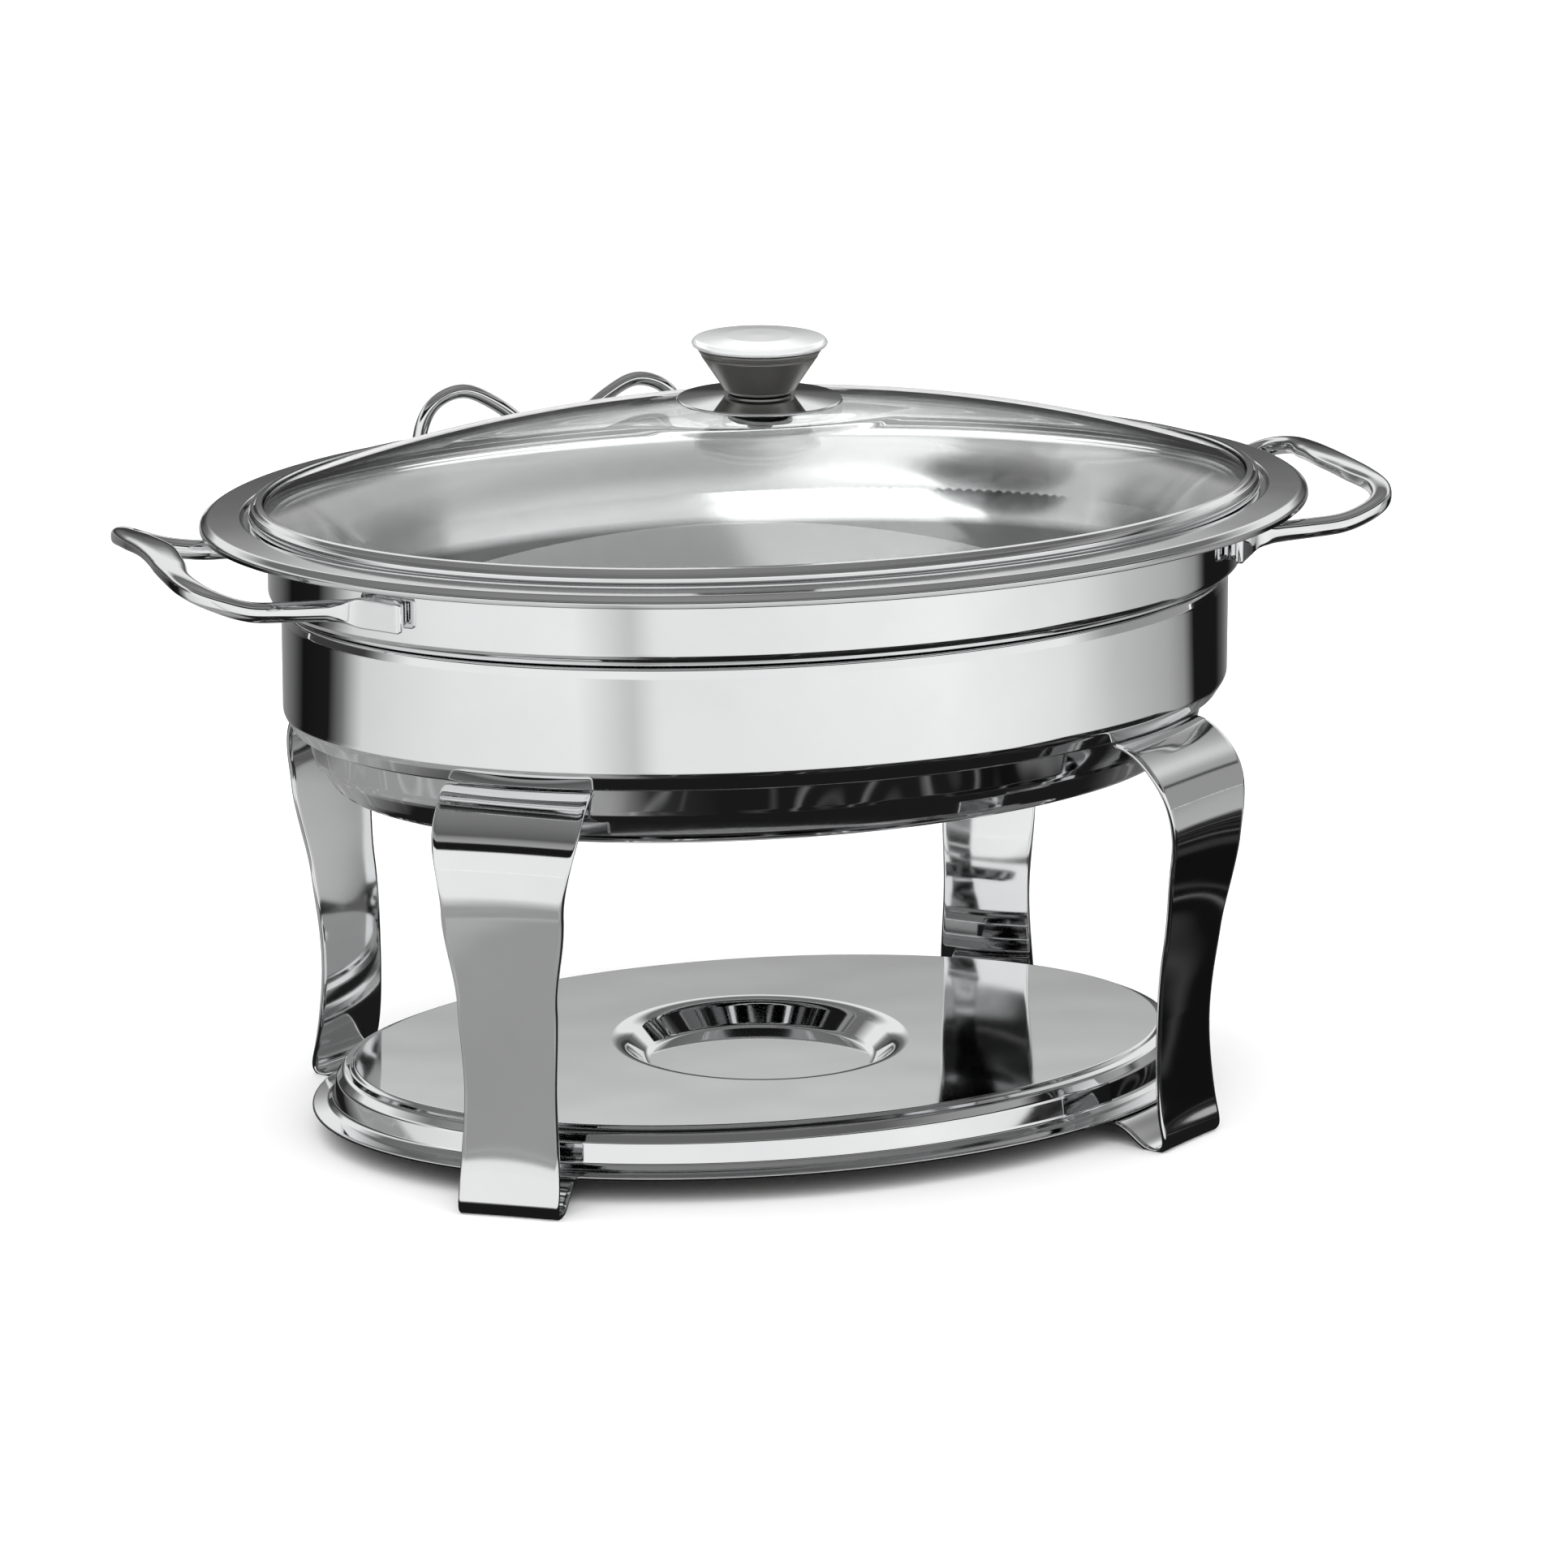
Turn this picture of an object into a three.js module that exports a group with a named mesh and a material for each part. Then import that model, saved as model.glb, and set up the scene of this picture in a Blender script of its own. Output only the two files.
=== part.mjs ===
// Oval chafing dish: stand with base tray, water pan, food pan and glass lid.
// Millimetres, +Z up, +X along the oval, the front faces -Y, the stand's feet at Z = 0.
import * as THREE from 'three';
import { mergeVertices } from 'three/addons/utils/BufferGeometryUtils.js';

// ---------------------------------------------------------------- driving dimensions
const OVAL_DIFFERENCE = 53.8;      // long half-axis minus short half-axis, the same for every oval
const OVAL_STEPS = 36;             // facets round an oval
const ROUND_STEPS = 20;            // facets round a knob part
const FIT_GAP = 0.3;               // gap left between neighbouring pieces

const FLANGE_A = 218;              // long half-axis of the food pan's flange
const LID_A = 199.6;               // long half-axis of the lid's steel rim
const BAND_A = 192.4;              // long half-axis of the water pan's upper band
const RING_A = 187.5;              // long half-axis of the stand's ring
const TRAY_A = 178.7;              // long half-axis of the base tray

const TRAY_FLANGE_Z = 9.5;         // underside of the tray's flange
const TRAY_TOP_Z = 26.5;           // the tray's flat centre
const RING_BOTTOM_Z = 161.6;       // underside of the ring's ledge
const RING_TOP_Z = 209.8;
const BASIN_Z = 132.7;             // underside of the water pan
const PAN_RIM_Z = 240.3;           // top of the water pan's rim
const FOOD_FLOOR_Z = 174;          // underside of the food pan
const FLANGE_TOP_Z = 243.7;
const GLASS_EDGE_Z = 246.45;       // top surface of the glass at its edge
const GLASS_A = 197;               // long half-axis of the glass
const GLASS_RISE = 33;
const GLASS_POWER = 2;             // how boxy the dome is
const GLASS_THICKNESS = 3.6;

const LEG_BASE = [129.3, 93.6];    // point under the ring's edge where a leg leaves it
const LEG_ANGLE = THREE.MathUtils.degToRad(34);   // a leg's outward direction, turned from Y
const LEG_THICKNESS = 2;

const HANDLE_Z = 225;              // height of the handle ends and of the holder brackets
const HANDLE_PARAMETER = THREE.MathUtils.degToRad(27.5);  // where on the oval a handle end sits
const PLATE_THICKNESS = 2;
const HOLDER_WIRE_RADIUS = 3;
const HOLDER_X = 48;               // where the lid holder meets the back wall

// ---------------------------------------------------------------- materials
function metal(color, roughness) {
  return new THREE.MeshStandardMaterial({ color, roughness, metalness: 1 });
}

const polishedSteel = () => metal(0xc9cacc, 0.08);
const satinSteel = () => metal(0x6e6c69, 0.35);
const screwSteel = () => metal(0x9a9a98, 0.3);
const clearGlass = () => new THREE.MeshStandardMaterial({
  color: 0xe9eef0, roughness: 0.03, metalness: 0, transparent: true, opacity: 0.3,
});
const blackSilicone = () => new THREE.MeshStandardMaterial({
  color: 0x1d1d1e, roughness: 0.7, metalness: 0,
});

// ---------------------------------------------------------------- solids
// Welds a geometry's vertices, drops the empty triangles at a lathe's poles and turns the
// faces outward.
function closedSolid(source) {
  source.deleteAttribute('normal');
  source.deleteAttribute('uv');
  const welded = mergeVertices(source, 1e-4);
  const position = welded.getAttribute('position');
  const [a, b, c] = [new THREE.Vector3(), new THREE.Vector3(), new THREE.Vector3()];
  const kept = [];
  let volume = 0;
  for (let i = 0; i < welded.index.count; i += 3) {
    const corners = [0, 1, 2].map((k) => welded.index.getX(i + k));
    if (new Set(corners).size < 3) continue;
    kept.push(...corners);
    a.fromBufferAttribute(position, corners[0]);
    b.fromBufferAttribute(position, corners[1]);
    c.fromBufferAttribute(position, corners[2]);
    volume += a.dot(b.cross(c));
  }
  if (volume < 0) kept.reverse();
  const solid = new THREE.BufferGeometry();
  solid.setAttribute('position', position);
  solid.setIndex(kept);
  solid.computeVertexNormals();
  return solid;
}

function mapVertices(geometry, place) {
  const position = geometry.getAttribute('position');
  const point = new THREE.Vector3();
  for (let i = 0; i < position.count; i += 1) {
    point.fromBufferAttribute(position, i);
    place(point);
    position.setXYZ(i, point.x, point.y, point.z);
  }
  return geometry;
}

// A lathed section [[radius, height], ...] that starts and ends on the axis or closes on itself.
function lathe(section, steps) {
  const geometry = new THREE.LatheGeometry(section.map(([r, z]) => new THREE.Vector2(r, z)), steps);
  return geometry.rotateX(Math.PI / 2);
}

function ring(section) {
  return [...section, section[0]];
}

function roundPart(section) {
  return closedSolid(lathe(section, ROUND_STEPS));
}

// Short half-axis of the pan oval whose long half-axis is r. The walls keep an even offset
// round the oval, and the flat floor shrinks evenly to the centre.
function panWidth(r) {
  const floor = 120;
  return r >= floor ? r - OVAL_DIFFERENCE : r * (floor - OVAL_DIFFERENCE) / floor;
}

// The same for a part that is round as far as roundEdge and oval from ovalStart outward.
function partlyRound(roundEdge, ovalStart, ovalWidth) {
  return (r) => {
    if (r <= roundEdge) return r;
    if (r >= ovalStart) return ovalWidth(r);
    return THREE.MathUtils.mapLinear(r, roundEdge, ovalStart, roundEdge, ovalWidth(ovalStart));
  };
}

const trayWidth = partlyRound(62, 150, (r) => r - OVAL_DIFFERENCE);
const domeWidth = partlyRound(6, 60, (r) => r * (1 - OVAL_DIFFERENCE / GLASS_A));

function ovalPart(section, width = panWidth) {
  const geometry = lathe(section, OVAL_STEPS);
  mapVertices(geometry, (p) => {
    const r = Math.hypot(p.x, p.y);
    if (r > 1e-6) p.y *= width(r) / r;
  });
  return closedSolid(geometry);
}

// A point on the wall of an oval, with its outward and sideways directions.
function wallFrame(longHalfAxis, parameter) {
  const shortHalfAxis = longHalfAxis - OVAL_DIFFERENCE;
  const [cosine, sine] = [Math.cos(parameter), Math.sin(parameter)];
  const point = new THREE.Vector3(longHalfAxis * cosine, shortHalfAxis * sine, 0);
  const outward = new THREE.Vector3(cosine / longHalfAxis, sine / shortHalfAxis, 0).normalize();
  return { point, outward, sideways: new THREE.Vector3(-outward.y, outward.x, 0) };
}

// Linear interpolation in a table of evenly spaced values, t from 0 to 1.
function sample(values, t) {
  const x = t * (values.length - 1);
  const i = Math.min(Math.floor(x), values.length - 2);
  return values[i] + (values[i + 1] - values[i]) * (x - i);
}

// ---------------------------------------------------------------- stand
function baseTray() {
  return ovalPart(ring([
    [TRAY_A, TRAY_FLANGE_Z], [TRAY_A, 10.7], [172.6, 11.7], [170.8, 13.8], [169.6, 20.6],
    [167.6, 24.2], [163, 25.8], [162.2, TRAY_TOP_Z], [60, TRAY_TOP_Z], [54.6, 25.4],
    [45, 18.2], [42.6, 17.5], [0, 17.5],
    [0, 16.3], [43, 16.3], [45.8, 17.2], [55.4, 24.2], [60.4, 25.3], [161.6, 25.3],
    [166.6, 23.2], [168.4, 20.2], [169.6, 13.2], [171.8, 10.5],
  ]), trayWidth);
}

function standRing() {
  return ovalPart(ring([
    [184.2, RING_TOP_Z], [186.3, 208.5], [RING_A, 205.2], [RING_A, 168.4], [186.1, 164],
    [183.2, RING_BOTTOM_Z], [181.2, RING_BOTTOM_Z], [181.2, 162.8], [182.8, 162.8],
    [185.1, 164.9], [186.3, 168.4], [186.3, 205], [185.5, 207.4], [184.2, 208.6],
  ]));
}

// A leg's path in its own upright plane: [outward distance, height] along the strap's middle,
// from the tab under the ring to the tab under the tray.
const LEG_PATH = [
  [-3.4, 160.3], [0.4, 159.9], [6, 157.2], [13, 151.2], [18.4, 143.2], [20.8, 133], [20.6, 121],
  [18.3, 104], [15, 84], [12, 62], [11.1, 42], [12, 25], [13.7, 12.5], [15.4, 5.6],
  [15.9, 2.6], [14.6, 0.7], [7.4, 0.7], [3.6, 2.8], [-0.6, 5.8], [-5, 7.8], [-9, 8.2], [-13, 8.2],
];
const LEG_WIDTHS = [57.6, 57, 53, 47.5, 42.5, 38.5, 36.4, 36, 37.6, 39.4, 39.4, 39.4];
const LEG_STATIONS = 48;
const LEG_DISH = 1.2;              // how far the strap's middle lies inside its edges

function leg(sideX, sideY) {
  const path = new THREE.CatmullRomCurve3(LEG_PATH.map(([s, z]) => new THREE.Vector3(s, 0, z)));
  const box = new THREE.BoxGeometry(1, 1, 1, 2, LEG_STATIONS, 1);
  const outward = new THREE.Vector2(sideX * Math.sin(LEG_ANGLE), sideY * Math.cos(LEG_ANGLE));
  mapVertices(box, (p) => {
    const t = p.y + 0.5;
    const centre = path.getPointAt(t);
    const tangent = path.getTangentAt(t);
    const halfWidth = sample(LEG_WIDTHS, t) * p.x;
    const dish = LEG_DISH * t * (4 * p.x * p.x - 1) * (t > 0.6 ? Math.max(0, (1 - t) / 0.4) : 1);
    const s = centre.x - tangent.z * p.z * LEG_THICKNESS + dish;
    const z = Math.max(0, centre.z + tangent.x * p.z * LEG_THICKNESS);   // the sole is flat
    p.set(
      sideX * LEG_BASE[0] + outward.x * s - outward.y * halfWidth,
      sideY * LEG_BASE[1] + outward.y * s + outward.x * halfWidth,
      z,
    );
  });
  return closedSolid(box);
}

// ---------------------------------------------------------------- water pan
function waterPan() {
  return ovalPart([
    [0, BASIN_Z], [146, BASIN_Z], [160, 134.6], [169, 139.8], [175.4, 148.6], [178.2, 158],
    [179.8, 166], [182.3, 209.2], [183.4, 210.1], [187.4, 210.1], [190.8, 212], [BAND_A, 216],
    [BAND_A, 239.3], [199.5, 239.3], [199.5, PAN_RIM_Z], [191.4, PAN_RIM_Z], [191.4, 216.3],
    [190.2, 213], [187.2, 211.1], [181.4, 211.1], [178.8, 166], [177.2, 158.2], [174.5, 149.1],
    [168.3, 140.6], [159.6, 135.6], [145.8, 133.7], [0, 133.7],
  ]);
}

// A small plate on the band's wall: a rounded rectangle, wide by high, thickness outward.
function wallPlate(frame, width, height, thickness) {
  const corner = 2.5;
  const [x, y] = [width / 2, height / 2];
  const outline = new THREE.Shape();
  outline.moveTo(-x + corner, -y);
  outline.lineTo(x - corner, -y);
  outline.absarc(x - corner, -y + corner, corner, -Math.PI / 2, 0);
  outline.absarc(x - corner, y - corner, corner, 0, Math.PI / 2);
  outline.absarc(-x + corner, y - corner, corner, Math.PI / 2, Math.PI);
  outline.absarc(-x + corner, -y + corner, corner, Math.PI, 1.5 * Math.PI);
  const options = { depth: thickness, bevelEnabled: false, curveSegments: 3 };
  const geometry = new THREE.ExtrudeGeometry(outline, options);
  const up = new THREE.Vector3(0, 0, 1);
  const place = new THREE.Matrix4().makeBasis(frame.sideways, up, frame.outward);
  place.setPosition(frame.point.x, frame.point.y, HANDLE_Z);
  geometry.translate(0, 0, FIT_GAP);
  return closedSolid(geometry.applyMatrix4(place));
}

// Half of a side handle's path, [x, y, z], from the end of the wall pad to the grip's middle,
// after the pad's own two points, which come from the wall.
const HANDLE_ARM = [
  [190, 56, 225.6], [206, 54.6, 226], [221, 57.4, 228], [235, 55, 233.4], [241.4, 42.4, 236.8],
  [240.4, 20, 238.8], [239, 0, 239.6],
];
const HANDLE_PAD_HALF_LENGTH = 12;
const HANDLE_PAD_LIFT = 1;         // the arm leaves the wall this much before it turns
// Half-thickness and half-height along half of the handle, at even steps of its length.
const HANDLE_HALF_THICKNESS = [1.6, 1.6, 1.9, 3.4, 3.6, 3.6, 4.2, 4.4, 5.2, 6.4, 6.8];
const HANDLE_HALF_HEIGHT = [5.7, 5.8, 5.2, 4.4, 3.9, 3.8, 3.7, 3.6, 3.3, 3.1, 3];
const HANDLE_SIDES = 8;
const HANDLE_STATIONS = 40;

function handle(sideX) {
  const { point, outward, sideways } = wallFrame(BAND_A, HANDLE_PARAMETER);
  const padOffset = 3 * FIT_GAP + PLATE_THICKNESS + HANDLE_HALF_THICKNESS[0];
  const pad = point.clone().addScaledVector(outward, padOffset).setZ(HANDLE_Z);
  const half = [
    pad.clone().addScaledVector(sideways, HANDLE_PAD_HALF_LENGTH),
    pad.clone(),
    pad.clone().addScaledVector(sideways, -HANDLE_PAD_HALF_LENGTH)
      .addScaledVector(outward, HANDLE_PAD_LIFT),
    ...HANDLE_ARM.map(([x, y, z]) => new THREE.Vector3(x, y, z)),
  ];
  const otherHalf = half.slice(0, -1).reverse().map((p) => new THREE.Vector3(p.x, -p.y, p.z));
  const path = new THREE.CatmullRomCurve3([...half, ...otherHalf], false, 'centripetal');
  const tube = new THREE.CylinderGeometry(1, 1, 1, HANDLE_SIDES, HANDLE_STATIONS);
  mapVertices(tube, (p) => {
    const t = p.y + 0.5;
    const fromEnd = 1 - Math.abs(2 * t - 1);
    const centre = path.getPointAt(t);
    const tangent = path.getTangentAt(t);
    const across = new THREE.Vector3(-tangent.y, tangent.x, 0).normalize();
    const above = new THREE.Vector3().crossVectors(tangent, across);
    centre.addScaledVector(across, p.x * sample(HANDLE_HALF_THICKNESS, fromEnd));
    centre.addScaledVector(above, p.z * sample(HANDLE_HALF_HEIGHT, fromEnd));
    p.set(sideX * centre.x, centre.y, centre.z);
  });
  return closedSolid(tube);
}

// Half of the lid holder's wire, [x, y, z], from the valley between its two loops, over one
// loop, down, and forward to the back wall.
const HOLDER_HALF_PATH = [
  [0, 256, 216], [10, 256.5, 219.8], [24, 257, 230.5], [38, 257.6, 236.8], [51, 257, 232],
  [57.5, 255.5, 219], [58.5, 251, 204], [58, 241, 195.6], [56, 222, 195], [52.5, 190, 205],
  [49.5, 163, 216], [HOLDER_X, 148, 221.5],
];
const HOLDER_PLATE_THICKNESS = 2.4;
const HOLDER_STEPS = 48;

function lidHolderWire() {
  const { point } = wallFrame(BAND_A, Math.acos(HOLDER_X / BAND_A));
  const wallEnd = [HOLDER_X, point.y + HOLDER_PLATE_THICKNESS + HOLDER_WIRE_RADIUS, 223.5];
  const right = [...HOLDER_HALF_PATH, wallEnd].map((p) => new THREE.Vector3(...p));
  const left = right.slice(1).reverse().map((p) => new THREE.Vector3(-p.x, p.y, p.z));
  const path = new THREE.CatmullRomCurve3([...left, ...right], false, 'centripetal');
  const section = new THREE.Shape();
  section.absarc(0, 0, HOLDER_WIRE_RADIUS, 0, 2 * Math.PI);
  const options = { steps: HOLDER_STEPS, extrudePath: path, bevelEnabled: false, curveSegments: 5 };
  return closedSolid(new THREE.ExtrudeGeometry(section, options));
}

// ---------------------------------------------------------------- food pan
function foodPan() {
  return ovalPart([
    [0, FOOD_FLOOR_Z], [148, FOOD_FLOOR_Z], [162, 175.4], [170.4, 180.4], [173.4, 188],
    [186.9, 237.6], [189.2, 240.6], [202.8, 240.6], [203.4, 242.7], [215.8, 242], [216.9, 241],
    [216.9, 238.8], [FLANGE_A, 238.8], [FLANGE_A, 241.4], [216.4, 243], [202.6, FLANGE_TOP_Z],
    [201.8, 241.6], [188.6, 241.6], [185.9, 238], [172.4, 188.4], [169.6, 181.4], [161.6, 176.4],
    [147.8, 175], [0, 175],
  ]);
}

// ---------------------------------------------------------------- lid
function glassTop(r) {
  return GLASS_EDGE_Z + GLASS_RISE * (1 - (r / GLASS_A) ** GLASS_POWER);
}

const GLASS_HOLE_RADIUS = 4.2;
const GLASS_RADII = [GLASS_HOLE_RADIUS, 26, 60, 95, 130, 165, GLASS_A];

function lidGlass() {
  const top = GLASS_RADII.map((r) => [r, glassTop(r)]);
  const bottom = GLASS_RADII.map((r) => [r, glassTop(r) - GLASS_THICKNESS]).reverse();
  return ovalPart(ring([...top, ...bottom]), domeWidth);
}

function lidRim() {
  return ovalPart(ring([
    [LID_A, 243.2], [LID_A, 245.6], [198.7, 247.4], [196.8, 248.4], [194, 248.8], [194, 247.9],
    [196.6, 247.1], [197.3, 246], [197.3, 242.6], [192.6, 242.5], [192.6, 241.9], [198.6, 241.9],
  ]));
}

const KNOB_AXIS_HOLE = 2.8;
const SCREW_RADIUS = 2.5;

function knobCap() {
  return roundPart([
    [0, 301.5], [22.4, 301.5], [25.4, 301.9], [26.3, 303.2], [25.4, 304.5], [18, 305.4],
    [9, 305.9], [0, 306],
  ]);
}

function knobBody() {
  return roundPart(ring([
    [KNOB_AXIS_HOLE, 283.6], [12, 283.6], [12.2, 285], [13.9, 285.2], [14.6, 286.4],
    [22.4, 298.2], [22.1, 298.5], [22.9, 298.9], [24.2, 301.2], [6, 301.2], [6, 297],
    [KNOB_AXIS_HOLE, 297],
  ]));
}

function knobPlate() {
  return roundPart(ring([
    [KNOB_AXIS_HOLE, 282.3], [14, 282.3], [31.7, 280.4], [32, 280.9], [31.7, 281.4],
    [14, 283.3], [KNOB_AXIS_HOLE, 283.3],
  ]));
}

// A flat ring about the knob's axis.
function collar(innerRadius, outerRadius, low, high) {
  return roundPart(ring([
    [innerRadius, low], [outerRadius, low], [outerRadius, high], [innerRadius, high],
  ]));
}

const GLASS_CROWN_Z = glassTop(0);
const GLASS_UNDERSIDE_Z = GLASS_CROWN_Z - GLASS_THICKNESS;
const GASKET_RADIUS = 14;
const LOWER_GASKET_TOP_Z = GLASS_UNDERSIDE_Z - 0.6;   // clear of the dome's fall
const LOWER_GASKET_Z = LOWER_GASKET_TOP_Z - 1.5;
const WASHER_RADIUS = 12.5;
const WASHER_Z = LOWER_GASKET_Z - 1.6;

function knobScrew() {
  const headTop = WASHER_Z - FIT_GAP;
  return roundPart([
    [0, headTop - 3], [4.4, headTop - 2.2], [4.8, headTop], [SCREW_RADIUS, headTop],
    [SCREW_RADIUS, 296.4], [0, 296.4],
  ]);
}

// ---------------------------------------------------------------- assembly
const group = new THREE.Group();

function add(name, geometry, material) {
  const mesh = new THREE.Mesh(geometry, material);
  mesh.name = name;
  group.add(mesh);
}

add('base_tray', baseTray(), polishedSteel());
for (const [rowName, sideY] of [['front', -1], ['rear', 1]]) {
  for (const [sideName, sideX] of [['left', -1], ['right', 1]]) {
    add(`leg_${rowName}_${sideName}`, leg(sideX, sideY), polishedSteel());
  }
}
add('stand_ring', standRing(), polishedSteel());

add('water_pan', waterPan(), polishedSteel());
for (const [sideName, sideX] of [['left', -1], ['right', 1]]) {
  add(`handle_${sideName}`, handle(sideX), polishedSteel());
  for (const [rowName, sideY] of [['front', -1], ['rear', 1]]) {
    const parameter = sideX > 0 ? sideY * HANDLE_PARAMETER : Math.PI - sideY * HANDLE_PARAMETER;
    const plate = wallPlate(wallFrame(BAND_A, parameter), 16, 11, PLATE_THICKNESS);
    add(`handle_plate_${rowName}_${sideName}`, plate, polishedSteel());
  }
}
add('lid_holder_wire', lidHolderWire(), polishedSteel());
for (const [sideName, sideX] of [['left', -1], ['right', 1]]) {
  const frame = wallFrame(BAND_A, Math.acos(sideX * HOLDER_X / BAND_A));
  const plate = wallPlate(frame, 20, 14, HOLDER_PLATE_THICKNESS);
  add(`holder_plate_${sideName}`, plate, polishedSteel());
}

add('food_pan', foodPan(), polishedSteel());

add('lid_glass', lidGlass(), clearGlass());
add('lid_rim', lidRim(), polishedSteel());
add('knob_cap', knobCap(), polishedSteel());
add('knob_body', knobBody(), satinSteel());
add('knob_plate', knobPlate(), polishedSteel());
const collars = [
  ['knob_upper_gasket', GASKET_RADIUS, GLASS_CROWN_Z + FIT_GAP, 282, blackSilicone()],
  ['knob_lower_gasket', GASKET_RADIUS, LOWER_GASKET_Z, LOWER_GASKET_TOP_Z, blackSilicone()],
  ['knob_washer', WASHER_RADIUS, WASHER_Z, LOWER_GASKET_Z - FIT_GAP, screwSteel()],
];
for (const [name, outerRadius, low, high, material] of collars) {
  add(name, collar(KNOB_AXIS_HOLE, outerRadius, low, high), material);
}
add('knob_screw', knobScrew(), screwSteel());

// The footprint's centre goes to the origin: the lid holder reaches further back than the
// flange reaches forward.
const footprint = new THREE.Box3().setFromObject(group);
group.position.y = -(footprint.min.y + footprint.max.y) / 2;

export default group;
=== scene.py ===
"""Looks for an oval chafing dish: stand, water pan, food pan and glass lid.

Driving dimensions and sections are in millimetres; every Blender object is in metres, in the
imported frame, whose Y runs to the back. Sections are drawn about the ovals' common centre.
"""
import math

import bpy
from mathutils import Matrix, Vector


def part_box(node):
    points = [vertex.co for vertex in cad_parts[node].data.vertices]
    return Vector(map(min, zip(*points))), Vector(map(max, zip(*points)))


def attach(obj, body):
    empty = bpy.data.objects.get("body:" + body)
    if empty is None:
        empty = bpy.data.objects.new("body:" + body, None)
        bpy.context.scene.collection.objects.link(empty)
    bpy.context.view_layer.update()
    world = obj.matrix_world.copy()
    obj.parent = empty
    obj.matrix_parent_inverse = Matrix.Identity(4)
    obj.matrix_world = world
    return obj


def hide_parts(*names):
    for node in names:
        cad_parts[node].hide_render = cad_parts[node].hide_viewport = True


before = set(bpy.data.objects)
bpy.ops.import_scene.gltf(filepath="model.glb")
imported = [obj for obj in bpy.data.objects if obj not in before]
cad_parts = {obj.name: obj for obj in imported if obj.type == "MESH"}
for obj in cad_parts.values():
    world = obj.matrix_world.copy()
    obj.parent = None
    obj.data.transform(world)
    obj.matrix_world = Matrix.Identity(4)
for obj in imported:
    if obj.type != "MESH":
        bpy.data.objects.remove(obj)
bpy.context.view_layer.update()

MM = 0.001

# ------------------------------------------------------------------ driving dimensions (mm)
PAN_LOW, PAN_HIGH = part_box("food_pan")
CENTRE_Y = (PAN_LOW.y + PAN_HIGH.y) / 2        # the ovals' common centre, in metres
OVAL_DIFFERENCE = 53.8                         # long half-axis minus short half-axis
OVAL_STEPS = 240
KNOB_STEPS = 96

FLANGE_A = PAN_HIGH.x / MM                     # long half-axis of the food pan's flange
LID_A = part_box("lid_rim")[1].x / MM
RING_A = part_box("stand_ring")[1].x / MM
TRAY_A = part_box("base_tray")[1].x / MM
BAND_A = 192.4                                 # long half-axis of the water pan's band
BASIN_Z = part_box("water_pan")[0].z / MM
FOOD_FLOOR_Z = PAN_LOW.z / MM
KNOB_TOP_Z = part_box("knob_cap")[1].z / MM

GLASS_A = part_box("lid_glass")[1].x / MM
GLASS_EDGE_Z = 246.45
GLASS_RISE = 33.0
GLASS_POWER = 2.0
GLASS_THICKNESS = 3.6

LEG_BASE = (129.3, 93.6)                       # point under the ring's edge where a leg leaves it
LEG_ANGLE = math.radians(34)
LEG_THICKNESS = 2.0
HANDLE_Z = 225.0
HANDLE_PARAMETER = math.radians(27.5)
HOLDER_X = 48.0
FIT_GAP = 0.3


# ------------------------------------------------------------------ camera
def add_camera():
    azimuth, elevation, distance = math.radians(-20.0), math.radians(14.73), 2.85
    aim = Vector((0.0088, CENTRE_Y - 0.0031, 0.1286))
    back = Vector((
        math.sin(azimuth) * math.cos(elevation),
        -math.cos(azimuth) * math.cos(elevation),
        math.sin(elevation),
    ))
    data = bpy.data.cameras.new("camera")
    data.sensor_width = 36.0
    data.lens = 168.8
    data.clip_end = 200.0
    camera = bpy.data.objects.new("camera", data)
    camera.location = aim + back * distance
    camera.rotation_mode = "QUATERNION"
    camera.rotation_quaternion = (-back).to_track_quat("-Z", "Y")
    bpy.context.scene.collection.objects.link(camera)
    bpy.context.scene.camera = camera


add_camera()


# ------------------------------------------------------------------ node helpers
def link_chain(tree, *steps):
    """Links output to input for each (from_node, output, to_node, input)."""
    for source, output, target, entry in steps:
        tree.links.new(source.outputs[output], target.inputs[entry])


def new_node(tree, kind, **values):
    """A node with attributes set by name, and sockets by entries of the form in_Name."""
    node = tree.nodes.new(kind)
    for key, value in values.items():
        if key.startswith("in_"):
            node.inputs[key[3:].replace("_", " ")].default_value = value
        else:
            setattr(node, key, value)
    return node


def object_noise(tree, scale, stretch=(1, 1, 1), detail=3.0, roughness=0.5):
    """Noise in object space with its scale per metre, stretched per axis."""
    place = new_node(tree, "ShaderNodeTexCoord")
    mapping = new_node(tree, "ShaderNodeMapping")
    mapping.inputs["Scale"].default_value = stretch
    noise = new_node(tree, "ShaderNodeTexNoise", in_Scale=scale, in_Detail=detail)
    noise.inputs["Roughness"].default_value = roughness
    link_chain(
        tree,
        (place, "Object", mapping, "Vector"),
        (mapping, "Vector", noise, "Vector"),
    )
    return noise


def mapped(tree, source, output, low, high, from_low=0.3, from_high=0.7):
    """The source's value carried from its usual span to low..high."""
    node = new_node(tree, "ShaderNodeMapRange")
    node.inputs["From Min"].default_value = from_low
    node.inputs["From Max"].default_value = from_high
    node.inputs["To Min"].default_value = low
    node.inputs["To Max"].default_value = high
    tree.links.new(source.outputs[output], node.inputs["Value"])
    return node


def ramp_node(tree, stops, source):
    """A grey ramp over the source's result, stops being (place, brightness) from place 0 to 1."""
    ramp = new_node(tree, "ShaderNodeValToRGB")
    elements = ramp.color_ramp.elements
    elements[0].color = (*[stops[0][1]] * 3, 1)
    elements[-1].color = (*[stops[-1][1]] * 3, 1)
    for place, value in stops[1:-1]:
        elements.new(place).color = (value, value, value, 1)
    tree.links.new(source.outputs["Result"], ramp.inputs["Fac"])
    return ramp


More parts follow.
